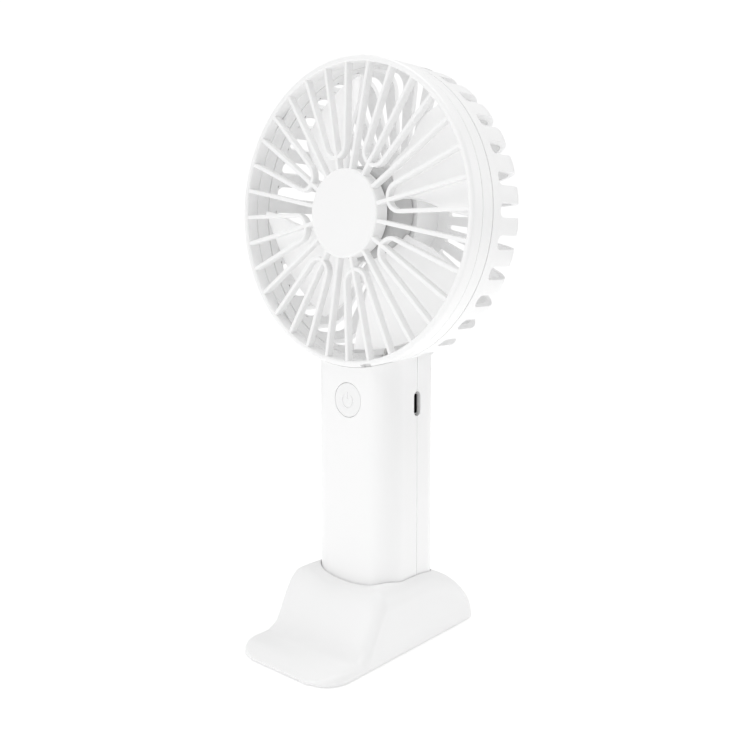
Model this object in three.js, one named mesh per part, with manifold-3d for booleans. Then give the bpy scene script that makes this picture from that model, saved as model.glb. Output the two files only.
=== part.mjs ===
// Handheld electric fan standing in its desk dock.
// Millimetres, +Z up. The origin is on the surface the dock stands on, at the middle of its length and width.
// Pieces are drawn with the handle's axis on Z, and the whole fan is then set back to centre the dock.
// The fan blows towards -Y, so the front of every piece is its -Y side.
import * as THREE from 'three';
import { mergeVertices } from 'three/addons/utils/BufferGeometryUtils.js';
import Module from 'manifold-3d';

const wasm = await Module();
wasm.setup();

// ---- driving dimensions ----
const gap = 0.3;                 // clearance between neighbouring pieces
const hair = 0.05;               // how far cutting tools run past a face

// head: a short drum whose axis is parallel to Y
const headHeight = 136;          // floor to the drum's axis
const rimRadius = 48;
const rimWall = 1.9;
const rimFront = -14.4;
const skirtDepth = 4.5;          // front grille's cylindrical rim
const bandDepth = 5;             // smooth band of the front shell behind the rim
const solidBand = 3.6;           // smooth start of the rear shell before its slots
const headBack = 13.6;
const backCorner = 6.5;          // rounding between the drum's side and its back
const backWall = 2;

// front grille
const spokeCount = 32;
const spokeWidth = 1.3;
const spokeDepth = 2.8;
const hubRadius = 13.9;
const hubFront = -15.6;          // the hub stands a little proud of the rim
const hubDepth = 5.4;
const hubWall = 1.5;
const loopRadius = 22;           // radius on which the looped spokes' bends are centred
const loopInset = 0.15;          // how far a bend lies inside its spokes' faces
const snapReach = 2.3;
const snapWall = 0.9;
const notchWidth = 4.2;
const notchAngle = -80;          // degrees, fingernail notch just right of the lowest point

// rear slots
const slotOuterWidth = 4.2;
const slotInnerWidth = 1.5;
const slotInnerRadius = 20.5;
const bossRadius = 16.5;
const bossWall = 2.2;
const bossFront = 1;

// impeller
const bladeCount = 4;
const bladeTip = rimRadius - rimWall - 3.1;   // 3.1 clear of the drum's wall
const bladeThickness = 1.3;
const bladeSpan = 66;            // degrees covered by one blade
const bladeSweep = 16;           // degrees the tip lags behind the root
const bladePhase = 41;           // degrees, rest position
const bladeLeading = -8.3;
const bladeTrailing = 3.2;
const cupRadius = 15;
const cupWall = 1.8;
const cupFront = -9;
const cupBack = 0.6;

// motor
const motorRadius = 12.2;
const motorLength = 12.3;
const motorBack = 9.2;
const canWall = 0.8;
const shaftRadius = 1;
const shaftFront = -7.6;
const bushRadius = 3;
const rotorRadius = 8;

// handle
const handleWidth = 32.8;
const handleDepth = 27;
const handleCorner = 8;
const handleBottom = 5.4;
const shellWall = 1.8;
const seamY = 1.1;
const screwX = 12.4;
const screwHeights = [14, 60.5];
const screwBossRadius = 2.9;
const screwShank = 0.9;
const screwHead = 1.9;
const screwHeadDepth = 1.4;
const caseScrewReach = 13;       // shank length
const caseHeadFloor = 8.2;       // Y of the counterbores' floor

// button and switch
const buttonHeight = 77.5;
const buttonRadius = 5.3;
const buttonFlange = 1.1;
const buttonTravel = 0.5;
const switchSize = 6;
const plungerRadius = 1.6;

// circuit board and charging port
const boardBack = -0.5;
const boardThickness = 1;
const boardLow = 64;
const boardClear = 1.3;          // board's top edge to the end of the handle's cavity
const portHeight = 76.3;
const portCutLength = 7.9;
const portCutWidth = 3.2;
const portThickness = 2.4;
const portPlay = 1;              // receptacle to cut-out, both ends together
const portDepth = 5.4;
const portRecess = 0.7;

// battery, an 18 mm x 50 mm cell
const cellRadius = 9.1;
const cellLength = 50;
const cellBottom = 8.6;
const leadRadius = 0.6;

// dock
const dockWidth = 41;
const dockFront = -44;
const dockBack = 30;
const dockTop = 21.5;
const dockUnder = 0.6;           // shadow gap between the shell and the floor
const frontCorner = 9;
const rearCorner = 6;
const tongueThickness = 3.4;
const rampStart = -30.5;
const rampEnd = -17.5;
const backStart = 2;             // where the top starts to fall away to the rear
const backBlend = 1.7;           // exponent of the rear fall
const shoulder = 6;              // rounding along the hump's upper edges
const scoop = 2.6;               // dip in front of the handle
const socketWall = 1.6;
const socketClearance = 0.35;
const socketFloor = 5.1;
const plateHalfX = 17.6;
const plateEnd = 24;
const plateUnder = 0.9;
const plateTop = 3.1;
const footRadius = 3.7;
const footThickness = 1.3;
const footPlaces = [[-14.2, -34], [14.2, -34], [-13, 12.4], [13, 12.4]];
const dockScrewPlaces = [[-13.4, -20.4], [13.4, -20.4], [-13.4, 20.4], [13.4, 20.4]];
const dockScrewReach = 6;

const rad = THREE.MathUtils.degToRad;

// ---- materials ----
const finish = (color, roughness, metalness = 0) => (
  new THREE.MeshStandardMaterial({ color, roughness, metalness })
);
const whitePlastic = finish(0xf4f4f3, 0.38);
const greyPlastic = finish(0x8c8f92, 0.5);
const blackPlastic = finish(0x1c1d1f, 0.5);
const steel = finish(0xb9bcc0, 0.3, 1);
const brass = finish(0xb8924a, 0.35, 1);
const copper = finish(0xa5603a, 0.45, 1);
const boardGreen = finish(0x1f5a37, 0.5);
const sleeveBlue = finish(0x3a6ea8, 0.45);
const ferrite = finish(0x3b3b3e, 0.7);
const rubber = finish(0xd9d9d6, 0.85);
const foam = finish(0x2b2b2b, 0.95);
const whiteWire = finish(0xdededb, 0.5);
const redWire = finish(0xb3262a, 0.5);
const blackWire = finish(0x202022, 0.5);

// ---- solids ----
// A closed geometry as a manifold solid, its shared corners merged.
function solid(geometry) {
  const bare = geometry.clone();
  bare.deleteAttribute('normal');
  bare.deleteAttribute('uv');
  const merged = mergeVertices(bare, 1e-4);
  const corners = merged.index.array;
  const faces = [];
  for (let i = 0; i < corners.length; i += 3) {
    const [a, b, c] = corners.subarray(i, i + 3);
    if (a !== b && b !== c && c !== a) faces.push(a, b, c);
  }
  return new wasm.Manifold(new wasm.Mesh({
    numProp: 3,
    vertProperties: merged.attributes.position.array,
    triVerts: new Uint32Array(faces),
  }));
}

function geometryOf(body) {
  const { vertProperties, triVerts } = body.getMesh();
  const geometry = new THREE.BufferGeometry();
  geometry.setAttribute('position', new THREE.BufferAttribute(new Float32Array(vertProperties), 3));
  geometry.setIndex(new THREE.BufferAttribute(new Uint32Array(triVerts), 1));
  return geometry;
}

function piece(name, body, material) {
  const mesh = new THREE.Mesh(geometryOf(body), material);
  mesh.name = name;
  return mesh;
}

const join = (...bodies) => bodies.reduce((sum, body) => sum.add(body));
const cut = (body, ...tools) => tools.reduce((rest, tool) => rest.subtract(tool), body);

// A box from its lowest to its highest corner.
function block([x0, y0, z0], [x1, y1, z1]) {
  const geometry = new THREE.BoxGeometry(x1 - x0, y1 - y0, z1 - z0);
  geometry.translate((x0 + x1) / 2, (y0 + y1) / 2, (z0 + z1) / 2);
  return solid(geometry);
}

// A rod along Y between two Y values, centred on (x, z).
function rodY(radius, y0, y1, x = 0, z = 0, sides = 16) {
  const geometry = new THREE.CylinderGeometry(radius, radius, y1 - y0, sides);
  geometry.translate(x, (y0 + y1) / 2, z);
  return solid(geometry);
}

// A rod along Z between two Z values, centred on (x, y).
function rodZ(radius, z0, z1, x = 0, y = 0, sides = 16) {
  const geometry = new THREE.CylinderGeometry(radius, radius, z1 - z0, sides);
  geometry.rotateX(Math.PI / 2);
  geometry.translate(x, y, (z0 + z1) / 2);
  return solid(geometry);
}

// A solid of revolution about Y; the outline of (radius, y) pairs closes on itself or on the axis.
function turned(outline, sides = 64) {
  const ordered = outline.map(([r, y]) => new THREE.Vector2(r, y));
  if (THREE.ShapeUtils.area(ordered) < 0) ordered.reverse();
  if (ordered[0].x > 0 || ordered.at(-1).x > 0) ordered.push(ordered[0].clone());
  return solid(new THREE.LatheGeometry(ordered, sides));
}

function roundedRectangle(halfX, halfY, corner) {
  const shape = new THREE.Shape();
  shape.moveTo(halfX, -halfY + corner);
  shape.lineTo(halfX, halfY - corner);
  shape.absarc(halfX - corner, halfY - corner, corner, 0, Math.PI / 2);
  shape.lineTo(-halfX + corner, halfY);
  shape.absarc(-halfX + corner, halfY - corner, corner, Math.PI / 2, Math.PI);
  shape.lineTo(-halfX, -halfY + corner);
  shape.absarc(-halfX + corner, -halfY + corner, corner, Math.PI, 1.5 * Math.PI);
  shape.lineTo(halfX - corner, -halfY);
  shape.absarc(halfX - corner, -halfY + corner, corner, 1.5 * Math.PI, 2 * Math.PI);
  return shape;
}

// A shape drawn in XY and raised from z0 to z1.
function raised(shape, z0, z1, curveSegments = 3) {
  const geometry = new THREE.ExtrudeGeometry(shape, { depth: z1 - z0, bevelEnabled: false, curveSegments });
  geometry.translate(0, 0, z0);
  return solid(geometry);
}

// A shape drawn in XZ and run through from y0 to y1.
function slabY(shape, y0, y1, curveSegments = 4) {
  const geometry = new THREE.ExtrudeGeometry(shape, { depth: y1 - y0, bevelEnabled: false, curveSegments });
  geometry.rotateX(Math.PI / 2);
  geometry.translate(0, y1, 0);
  return solid(geometry);
}

// A shape drawn in (Y, Z) and run through from x0 to x1.
function slabX(shape, x0, x1, curveSegments = 3) {
  const geometry = new THREE.ExtrudeGeometry(shape, { depth: x1 - x0, bevelEnabled: false, curveSegments });
  geometry.rotateX(Math.PI / 2);
  geometry.rotateZ(Math.PI / 2);
  geometry.translate(x0, 0, 0);
  return solid(geometry);
}

// Points along an arc, angles in degrees.
function arc(radius, centreX, centreY, from, to, steps) {
  const points = [];
  for (let i = 0; i <= steps; i += 1) {
    const angle = rad(from + ((to - from) * i) / steps);
    points.push([centreX + radius * Math.cos(angle), centreY + radius * Math.sin(angle)]);
  }
  return points;
}

const polygon = (points) => new THREE.Shape(points.map(([x, y]) => new THREE.Vector2(x, y)));
const spun = (body, degrees) => body.rotate([0, -degrees, 0]);
const atHead = (body) => body.translate([0, 0, headHeight]);

// A wire along a smooth path through a few points.
function lead(points) {
  const knots = points.map((point) => new THREE.Vector3(...point));
  const path = new THREE.CatmullRomCurve3(knots, false, 'centripetal');
  const section = new THREE.Shape();
  section.absarc(0, 0, leadRadius, 0, 2 * Math.PI);
  const steps = Math.ceil(path.getLength() / (6 * leadRadius));
  const sweep = { extrudePath: path, steps, curveSegments: 3, bevelEnabled: false };
  return solid(new THREE.ExtrudeGeometry(section, sweep));
}

// ---- front grille: rim, hub and spokes, in the head's own frame ----
const openingRadius = rimRadius - rimWall;
const skirtBack = rimFront + skirtDepth;
const spokePitch = 360 / spokeCount;

function spoke(innerRadius) {
  const proud = (rimFront - hubFront) / (openingRadius - hubRadius);
  const frontAt = (r) => rimFront + gap - (openingRadius - r) * proud;
  const outerRadius = openingRadius + rimWall / 2;
  const side = polygon([
    [innerRadius, frontAt(innerRadius)],
    [outerRadius, frontAt(outerRadius)],
    [outerRadius, frontAt(outerRadius) + spokeDepth],
    [innerRadius, frontAt(innerRadius) + spokeDepth],
  ]);
  const geometry = new THREE.ExtrudeGeometry(side, { depth: spokeWidth, bevelEnabled: false });
  geometry.translate(0, 0, -spokeWidth / 2);
  return solid(geometry);
}

// The bend that joins two neighbouring spokes round the middle one of a trio.
function loop() {
  const bend = loopRadius * Math.sin(rad(spokePitch));
  const half = spokeWidth / 2 - loopInset / 3;
  const [start, end] = [rad(88 + spokePitch), rad(272 - spokePitch)];
  const shape = new THREE.Shape();
  shape.absarc(loopRadius, 0, bend + half, start, end);
  shape.absarc(loopRadius, 0, bend - half, end, start, true);
  const proud = ((openingRadius - loopRadius) * (rimFront - hubFront)) / (openingRadius - hubRadius);
  const front = rimFront + gap - proud + loopInset;
  return slabY(shape, front, front + spokeDepth - 2 * loopInset, 4);
}

function frontGrille() {
  const rim = turned([
    [openingRadius, rimFront + 0.5], [openingRadius + 0.4, rimFront], [rimRadius - 0.7, rimFront],
    [rimRadius, rimFront + 0.7], [rimRadius, skirtBack], [openingRadius, skirtBack],
  ]);
  const hub = turned([
    [0, hubFront], [hubRadius - 0.6, hubFront], [hubRadius, hubFront + 0.6], [hubRadius, hubFront + hubDepth],
    [hubRadius - hubWall, hubFront + hubDepth], [hubRadius - hubWall, hubFront + hubWall],
    [0, hubFront + hubWall],
  ], 32);
  const snapRing = turned([
    [openingRadius - gap - snapWall, skirtBack + snapReach], [openingRadius - gap, skirtBack + snapReach],
    [openingRadius - gap, skirtBack - 0.2], [openingRadius + rimWall / 2, skirtBack - 0.2],
    [openingRadius + rimWall / 2, skirtBack - 1.2], [openingRadius - gap - snapWall, skirtBack - 0.4],
  ]);
  const bar = block([-rimRadius, rimFront, -6], [rimRadius, 0, 6]);
  const snaps = snapRing.intersect(join(spun(bar, 45), spun(bar, -45)));
  const parts = [rim, hub, snaps];
  for (let i = 0; i < spokeCount; i += 1) {
    const angle = i * spokePitch;
    const looped = i % 2 === 0;
    const inner = looped ? loopRadius * Math.cos(rad(spokePitch)) : hubRadius - hubWall / 2;
    parts.push(spun(spoke(inner), angle));
    if (i % 4 === 1) parts.push(spun(loop(), angle));
  }
  const notch = spun(
    block([rimRadius - 0.9, rimFront - 1, -notchWidth / 2], [rimRadius + 1, rimFront + 2, notchWidth / 2]),
    notchAngle,
  );
  return cut(join(...parts), notch);
}

// ---- the two shells: each is half the handle and its share of the head ----
const bandFront = skirtBack + gap;
const bandBack = bandFront + bandDepth;
const cupStart = bandBack + gap;
const slotStart = cupStart + solidBand;
const handleRise = headHeight - rimRadius + 12;
const innerWidth = handleWidth / 2 - shellWall;
const innerDepth = handleDepth / 2 - shellWall;

function hollowHandle() {
  const outside = raised(handleOutline(), handleBottom, handleRise);
  const inside = raised(
    roundedRectangle(innerWidth, innerDepth, handleCorner - shellWall), handleBottom + shellWall, handleRise,
  );
  const drum = (radius) => atHead(rodY(radius, -handleDepth, handleDepth, 0, 0, 64));
  return cut(outside, drum(rimRadius + gap), cut(inside, drum(rimRadius + gap + shellWall)));
}

function portCutter() {
  const shape = new THREE.Shape();
  const straight = (portCutLength - portCutWidth) / 2;
  shape.absarc(seamY, portHeight + straight, portCutWidth / 2, 0, Math.PI);
  shape.absarc(seamY, portHeight - straight, portCutWidth / 2, Math.PI, 2 * Math.PI);
  return slabX(shape, innerWidth - 2, handleWidth / 2 + 2);
}

const screwPlaces = screwHeights.flatMap((z) => [[-screwX, z], [screwX, z]]);
const boardFront = boardBack - boardThickness;
const boardHigh = headHeight - rimRadius - gap - shellWall - boardClear;
const portLength = portCutLength - portPlay;
const boardPosts = [[-9, boardLow + 3], [-9, boardHigh - 3], [9, boardLow + 3], [9, boardHigh - 3]];

const handleOutline = () => roundedRectangle(handleWidth / 2, handleDepth / 2, handleCorner);

// A screw post that stops at the handle's outer surface.
const casePost = (x, z, y0, y1) => (
  rodY(screwBossRadius, y0, y1, x, z).intersect(raised(handleOutline(), 0, headHeight))
);

// The handle's upper end, shaped to the drum between its mid-wall and the handle's cavity.
function neckBetween(y0, y1) {
  const stub = raised(handleOutline(), headHeight - rimRadius - 2, handleRise)
    .intersect(block([-60, y0, 0], [60, y1, 200]));
  const reach = atHead(rodY(rimRadius + gap + shellWall, -20, 20, 0, 0, 64));
  const core = turned([
    [0, -handleDepth], [rimRadius - rimWall / 2, -handleDepth],
    ...arc(backCorner - backWall / 2, rimRadius - backCorner, headBack - backCorner, 0, 90, 3),
    [0, headBack - backWall / 2],
  ]);
  return cut(stub.intersect(reach), atHead(core));
}

function frontShell(handle) {
  const frontHalf = handle.intersect(block([-60, -60, 0], [60, seamY - gap / 2, 200]));
  const band = atHead(turned([
    [openingRadius, bandFront], [rimRadius, bandFront], [rimRadius, bandBack], [openingRadius, bandBack],
  ]));
  let shell = join(frontHalf, band, neckBetween(bandFront, bandBack));
  for (const [x, z] of screwPlaces) {
    shell = join(shell, casePost(x, z, -handleDepth / 2, seamY - gap / 2));
  }
  for (const [x, z] of boardPosts) {
    shell = join(shell, rodY(1.4, -innerDepth - shellWall / 2, boardFront - gap, x, z, 16));
  }
  const pilots = screwPlaces.map(([x, z]) => {
    return rodY(screwShank + gap, caseHeadFloor + gap - caseScrewReach - 1, seamY, x, z, 10);
  });
  const buttonHole = rodY(buttonRadius + gap, -handleDepth, -innerDepth + 1, 0, buttonHeight, 24);
  return cut(shell, ...pilots, buttonHole, portCutter());
}

function ribbedCup() {
  const back = headBack;
  const cornerR = rimRadius - backCorner;
  const cornerY = back - backCorner;
  const cup = turned([
    [openingRadius, cupStart], [rimRadius, cupStart], ...arc(backCorner, cornerR, cornerY, 0, 90, 3),
    [0, back], [0, back - backWall], ...arc(backCorner - backWall, cornerR, cornerY, 90, 0, 3),
  ]);
  const boss = turned([
    [bossRadius - bossWall, bossFront], [bossRadius, bossFront], [bossRadius, back - backWall / 2],
    [bossRadius - bossWall, back - backWall / 2],
  ], 32);
  const half = (r) => {
    const share = (r - slotInnerRadius) / (rimRadius - slotInnerRadius);
    return (slotInnerWidth + (slotOuterWidth - slotInnerWidth) * share) / 2;
  };
  const beyond = rimRadius + 2;
  const slotShape = polygon([
    [slotInnerRadius, -half(slotInnerRadius)], [beyond, -half(beyond)],
    [beyond, half(beyond)], [slotInnerRadius, half(slotInnerRadius)],
  ]);
  const slot = slabY(slotShape, slotStart, back + 1);
  const slots = [];
  for (let i = 0; i < spokeCount; i += 1) slots.push(spun(slot, i * spokePitch));
  const leadNotch = block(
    [-2.6, motorBack + gap, -bossRadius - 1],
    [2.6, back - backWall, -bossRadius + bossWall + 1],
  );
  return cut(join(cup, boss), ...slots, leadNotch);
}

const leadDoor = { halfX: 3, low: 2.6, high: 8.6 };     // opening that passes the motor leads into the handle

function rearShell(handle) {
  const rearHalf = handle.intersect(block([-60, seamY + gap / 2, 0], [60, 60, 200]));
  let shell = join(rearHalf, neckBetween(seamY + gap / 2, handleDepth / 2), atHead(ribbedCup()));
  for (const [x, z] of screwPlaces) {
    shell = join(shell, casePost(x, z, seamY + gap / 2, handleDepth / 2));
  }
  const bores = screwPlaces.map(([x, z]) => join(
    rodY(screwShank + gap, 0, caseHeadFloor + 1, x, z, 10),
    rodY(screwHead + gap, caseHeadFloor, handleDepth, x, z, 14),
  ));
  const door = block(
    [-leadDoor.halfX, leadDoor.low, headHeight - rimRadius - 4],
    [leadDoor.halfX, leadDoor.high, headHeight - rimRadius + 6],
  );
  return cut(shell, ...bores, door, portCutter());
}

// ---- impeller ----
// One twisted blade as a closed grid: rows run out along the radius, columns along the chord.
function blade() {
  const rows = 6;
  const columns = 6;
  const rootRadius = cupRadius - cupWall / 2;
  const vertices = [];
  const pointAt = (i, j, side) => {
    const out = i / rows;
    const along = j / columns;
    const r = rootRadius + (bladeTip - rootRadius) * out;
    const roundOff = 1 - 0.16 * Math.max(0, out - 0.7) / 0.3 * (2 * along - 1) ** 2;
    const angle = rad((along - 0.5) * bladeSpan * (0.72 + 0.28 * out) * roundOff - bladeSweep * out);
    const past = THREE.MathUtils.clamp(out * 5 - 0.6, 0, 1);   // 0 over the cup, 1 beyond it
    const trailing = THREE.MathUtils.lerp(cupBack - bladeThickness, bladeTrailing, past);
    const camber = 1.6 * Math.sin(Math.PI * along) * out;
    const y = THREE.MathUtils.lerp(bladeLeading, trailing, along) + camber + (side * bladeThickness) / 2;
    return [r * Math.cos(angle), y, r * Math.sin(angle)];
  };
  for (const side of [-1, 1]) {
    for (let i = 0; i <= rows; i += 1) {
      for (let j = 0; j <= columns; j += 1) vertices.push(...pointAt(i, j, side));
    }
  }
  const at = (side, i, j) => side * (rows + 1) * (columns + 1) + i * (columns + 1) + j;
  const faces = [];
  const quad = (a, b, c, d) => faces.push(a, b, c, a, c, d);
  for (let i = 0; i < rows; i += 1) {
    for (let j = 0; j < columns; j += 1) {
      quad(at(0, i, j), at(0, i + 1, j), at(0, i + 1, j + 1), at(0, i, j + 1));
      quad(at(1, i, j), at(1, i, j + 1), at(1, i + 1, j + 1), at(1, i + 1, j));
    }
    quad(at(0, i, 0), at(1, i, 0), at(1, i + 1, 0), at(0, i + 1, 0));
    quad(at(0, i, columns), at(0, i + 1, columns), at(1, i + 1, columns), at(1, i, columns));
  }
  for (let j = 0; j < columns; j += 1) {
    quad(at(0, 0, j), at(0, 0, j + 1), at(1, 0, j + 1), at(1, 0, j));
    quad(at(0, rows, j), at(1, rows, j), at(1, rows, j + 1), at(0, rows, j + 1));
  }
  const geometry = new THREE.BufferGeometry();
  geometry.setAttribute('position', new THREE.Float32BufferAttribute(vertices, 3));
  geometry.setIndex(faces);
  return solid(geometry);
}

const canFront = motorBack - motorLength;
const bushFront = canFront - 1.5;

function impeller() {
  const cup = turned([
    [shaftRadius + gap, cupFront + 1.2], [0, cupFront + 0.6], [0, cupFront], [cupRadius - 1.5, cupFront],
    [cupRadius, cupFront + 1.5], [cupRadius, cupBack], [cupRadius - cupWall, cupBack],
    [cupRadius - cupWall, cupFront + cupWall + 1], [cupRadius - cupWall - 1, cupFront + cupWall],
    [shaftRadius + 2.4, cupFront + cupWall], [shaftRadius + 2.4, bushFront - gap],
    [shaftRadius + gap, bushFront - gap],
  ], 32);
  const blades = [];
  for (let i = 0; i < bladeCount; i += 1) blades.push(spun(blade(), bladePhase + (i * 360) / bladeCount));
  return join(cup, ...blades);
}

// ---- motor ----
function motorCan() {
  return turned([
    [shaftRadius + gap, bushFront + 1.5 - canWall], [bushRadius + gap + 0.6, bushFront + 1.5 - canWall],
    [motorRadius - 0.8, canFront], [motorRadius, canFront + 0.8], [motorRadius, motorBack - canWall],
    [motorRadius - canWall, motorBack - canWall], [motorRadius - canWall, canFront + canWall + 0.4],
    [shaftRadius + gap, canFront + canWall],
  ], 24);
}

function motorMagnet(sign) {
  const ring = turned([
    [rotorRadius + gap, canFront + 2], [motorRadius - canWall - gap, canFront + 2],
    [motorRadius - canWall - gap, motorBack - 3], [rotorRadius + gap, motorBack - 3],
  ], 24);
  const side = block([sign > 0 ? 2 : -20, -20, -20], [sign > 0 ? 20 : -2, 20, 20]);
  return ring.intersect(side);
}

const motorEndcap = () => cut(
  turned([
    [0, motorBack - canWall + gap], [motorRadius - 0.4, motorBack - canWall + gap],
    [motorRadius - 0.4, motorBack],
    [0, motorBack],
  ], 40),
  rodY(shaftRadius + gap, 0, motorBack - 0.2, 0, 0, 16),
);

function motorRotor() {
  const core = turned([
    [shaftRadius + gap, canFront + 2.4], [rotorRadius, canFront + 2.4], [rotorRadius, motorBack - 3.4],
    [shaftRadius + gap, motorBack - 3.4],
  ], 36);
  const slots = [0, 120, 240].map((angle) => spun(block([3.2, -20, -0.8], [20, 20, 0.8]), angle));
  return cut(core, ...slots);
}

const motorSleeve = () => turned([
  [motorRadius + gap, bossFront + 0.5], [bossRadius - bossWall - gap, bossFront + 0.5],
  [bossRadius - bossWall - gap, motorBack - 0.4], [motorRadius + gap, motorBack - 0.4],
], 32);

const motorShaft = () => rodY(shaftRadius, shaftFront, motorBack - 0.6, 0, 0, 16);

const motorCommutator = () => turned([
  [shaftRadius + gap, motorBack - 3], [3, motorBack - 3], [3, motorBack - canWall - gap],
  [shaftRadius + gap, motorBack - canWall - gap],
], 24);

const motorBush = () => turned([
  [shaftRadius + 0.25, bushFront - gap + 0.3], [bushRadius, bushFront - gap + 0.3],
  [bushRadius, bushFront + 1.5 - canWall - gap], [shaftRadius + 0.25, bushFront + 1.5 - canWall - gap],
], 24);

const terminalX = 5;
const motorTerminal = (sign) => block(
  [sign * terminalX - 0.8, motorBack + gap, -0.8], [sign * terminalX + 0.8, motorBack + gap + 0.5, 0.8],
);

// ---- button and switch ----
function powerButton() {
  const face = -handleDepth / 2;
  const flangeFront = -innerDepth + gap;
  const stemBack = -7;
  const outer = rodY(buttonRadius, face, flangeFront + 0.4, 0, buttonHeight, 24);
  const flange = rodY(buttonRadius + buttonFlange, flangeFront, flangeFront + 1, 0, buttonHeight, 24);
  const stem = rodY(1.5, flangeFront, stemBack, 0, buttonHeight, 16);
  const relief = 0.25;
  const arc = new THREE.Shape();
  arc.absarc(0, 0, 2.35, rad(125), rad(415));
  arc.absarc(0, 0, 1.95, rad(415), rad(125), true);
  const symbol = join(
    slabY(arc, face - hair, face + relief, 7).translate([0, 0, buttonHeight - 0.2]),
    block([-0.22, face - hair, buttonHeight + 0.4], [0.22, face + relief, buttonHeight + 2.5]),
  );
  return cut(join(outer, flange, stem), symbol);
}

const switchFront = -5;
const switchBack = boardFront - gap;
const switchPlunger = () => rodY(plungerRadius, -7 + gap, switchFront + 0.6, 0, buttonHeight, 20);

function switchBody() {
  const half = switchSize / 2;
  const body = block([-half, switchFront, buttonHeight - half], [half, switchBack, buttonHeight + half]);
  const well = switchFront + 0.6 + buttonTravel + gap;
  return cut(body, rodY(plungerRadius + gap, switchFront - 1, well, 0, buttonHeight, 20));
}

// ---- circuit board and port ----
const boardLeft = -12.2;
const boardRight = 12.6;
const circuitBoard = () => block([boardLeft, boardFront, boardLow], [boardRight, boardBack, boardHigh]);

function portShell() {
  const mouth = handleWidth / 2 - portRecess;
  const outer = raised(roundedRectangle(portThickness / 2, portLength / 2, 0.8), 0, portDepth, 2);
  const bore = roundedRectangle(portThickness / 2 - 0.35, portLength / 2 - 0.35, 0.5);
  const inner = raised(bore, -1, portDepth - 0.6, 2);
  return cut(outer, inner).rotate([0, -90, 0]).rotate([90, 0, 0]).rotate([180, 0, 0])
    .translate([mouth, seamY, portHeight]);
}

function portTongue() {
  const mouth = handleWidth / 2 - portRecess;
  return block(
    [mouth - portDepth + 0.6 + gap, seamY - 0.3, portHeight - 1.8],
    [mouth - 0.8, seamY + 0.3, portHeight + 1.8],
  );
}

const chargerChip = () => block([-9.4, boardBack + gap, 76.5], [-4.4, boardBack + gap + 1.4, 81.5]);
const boardInductor = () => cut(
  block([-7, boardBack + gap, 68], [-2, boardBack + gap + 2.6, 73]),
  rodY(1.4, boardBack + gap + 1.9, boardBack + 4, -4.5, 70.5, 20),
);

// ---- battery ----
const cellTop = cellBottom + cellLength;
const batteryCell = () => join(
  rodZ(cellRadius, cellBottom, cellTop, 0, 0, 32),
  rodZ(3.2, cellTop - 1, cellTop + 0.8, 0, 0, 24),
);
const padHalfX = 5.5;
const batteryPad = (sign) => {
  const near = cellRadius + gap;
  const far = innerDepth - gap;
  return sign < 0
    ? block([-padHalfX, -far, 18], [padHalfX, -near, 48])
    : block([-padHalfX, near, 18], [padHalfX, far, 48]);
};
const topTab = () => block([-2, -1.5, cellTop + 0.8 + gap], [2, 6.5, cellTop + 1.1 + gap]);
const bottomTab = () => block([-8.2, -2, cellBottom - gap - 0.4], [2, 8, cellBottom - gap]);

// ---- dock ----
const smooth = (t) => THREE.MathUtils.clamp(t, 0, 1) ** 2 * (3 - 2 * THREE.MathUtils.clamp(t, 0, 1));

function dockHeightAt(y) {
  const nose = tongueThickness * Math.min(1, Math.sqrt(Math.max(0.12, (y - dockFront) / 5)));
  const ramp = nose + (dockTop - nose) * smooth((y - rampStart) / (rampEnd - rampStart));
  if (y <= backStart) return ramp;
  const fall = Math.min(1, (y - backStart) / (dockBack - backStart));
  return Math.max(2.2, dockTop * (1 - fall ** backBlend) ** (1 / backBlend));
}

function dockHalfWidthAt(y) {
  const fromFront = y - dockFront;
  const fromBack = dockBack - y;
  const pulledIn = (reach, corner) => corner - Math.sqrt(Math.max(0, corner ** 2 - (corner - reach) ** 2));
  if (fromFront < frontCorner) return dockWidth / 2 - pulledIn(fromFront, frontCorner);
  if (fromBack < rearCorner) return dockWidth / 2 - pulledIn(fromBack, rearCorner);
  return dockWidth / 2;
}

// One cross-section of the dock at a given Y: up one side, over the top and down the other.
function dockSection(y, inset) {
  const halfWidth = dockHalfWidthAt(y) - inset;
  const top = dockHeightAt(y) - inset;
  const corner = Math.min(shoulder - inset / 2, (top - dockUnder) * 0.8, halfWidth * 0.9);
  const flat = halfWidth - corner;
  const dip = scoop * Math.exp(-(((y + 15) / 6.5) ** 2));
  const points = [[-halfWidth, dockUnder - (inset > 0 ? 2 : 0)]];
  for (let i = 0; i <= 4; i += 1) {
    const angle = rad(180 - 22.5 * i);
    points.push([-flat + corner * Math.cos(angle), top - corner + corner * Math.sin(angle)]);
  }
  for (let i = 1; i < 6; i += 1) {
    const x = flat * (i / 3 - 1);
    points.push([x, top - dip * (1 - (x / flat) ** 2)]);
  }
  for (let i = 0; i <= 4; i += 1) {
    const angle = rad(90 - 22.5 * i);
    points.push([flat + corner * Math.cos(angle), top - corner + corner * Math.sin(angle)]);
  }
  points.push([halfWidth, dockUnder - (inset > 0 ? 2 : 0)]);
  return points.map(([x, z]) => [x, y, z]);
}

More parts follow.
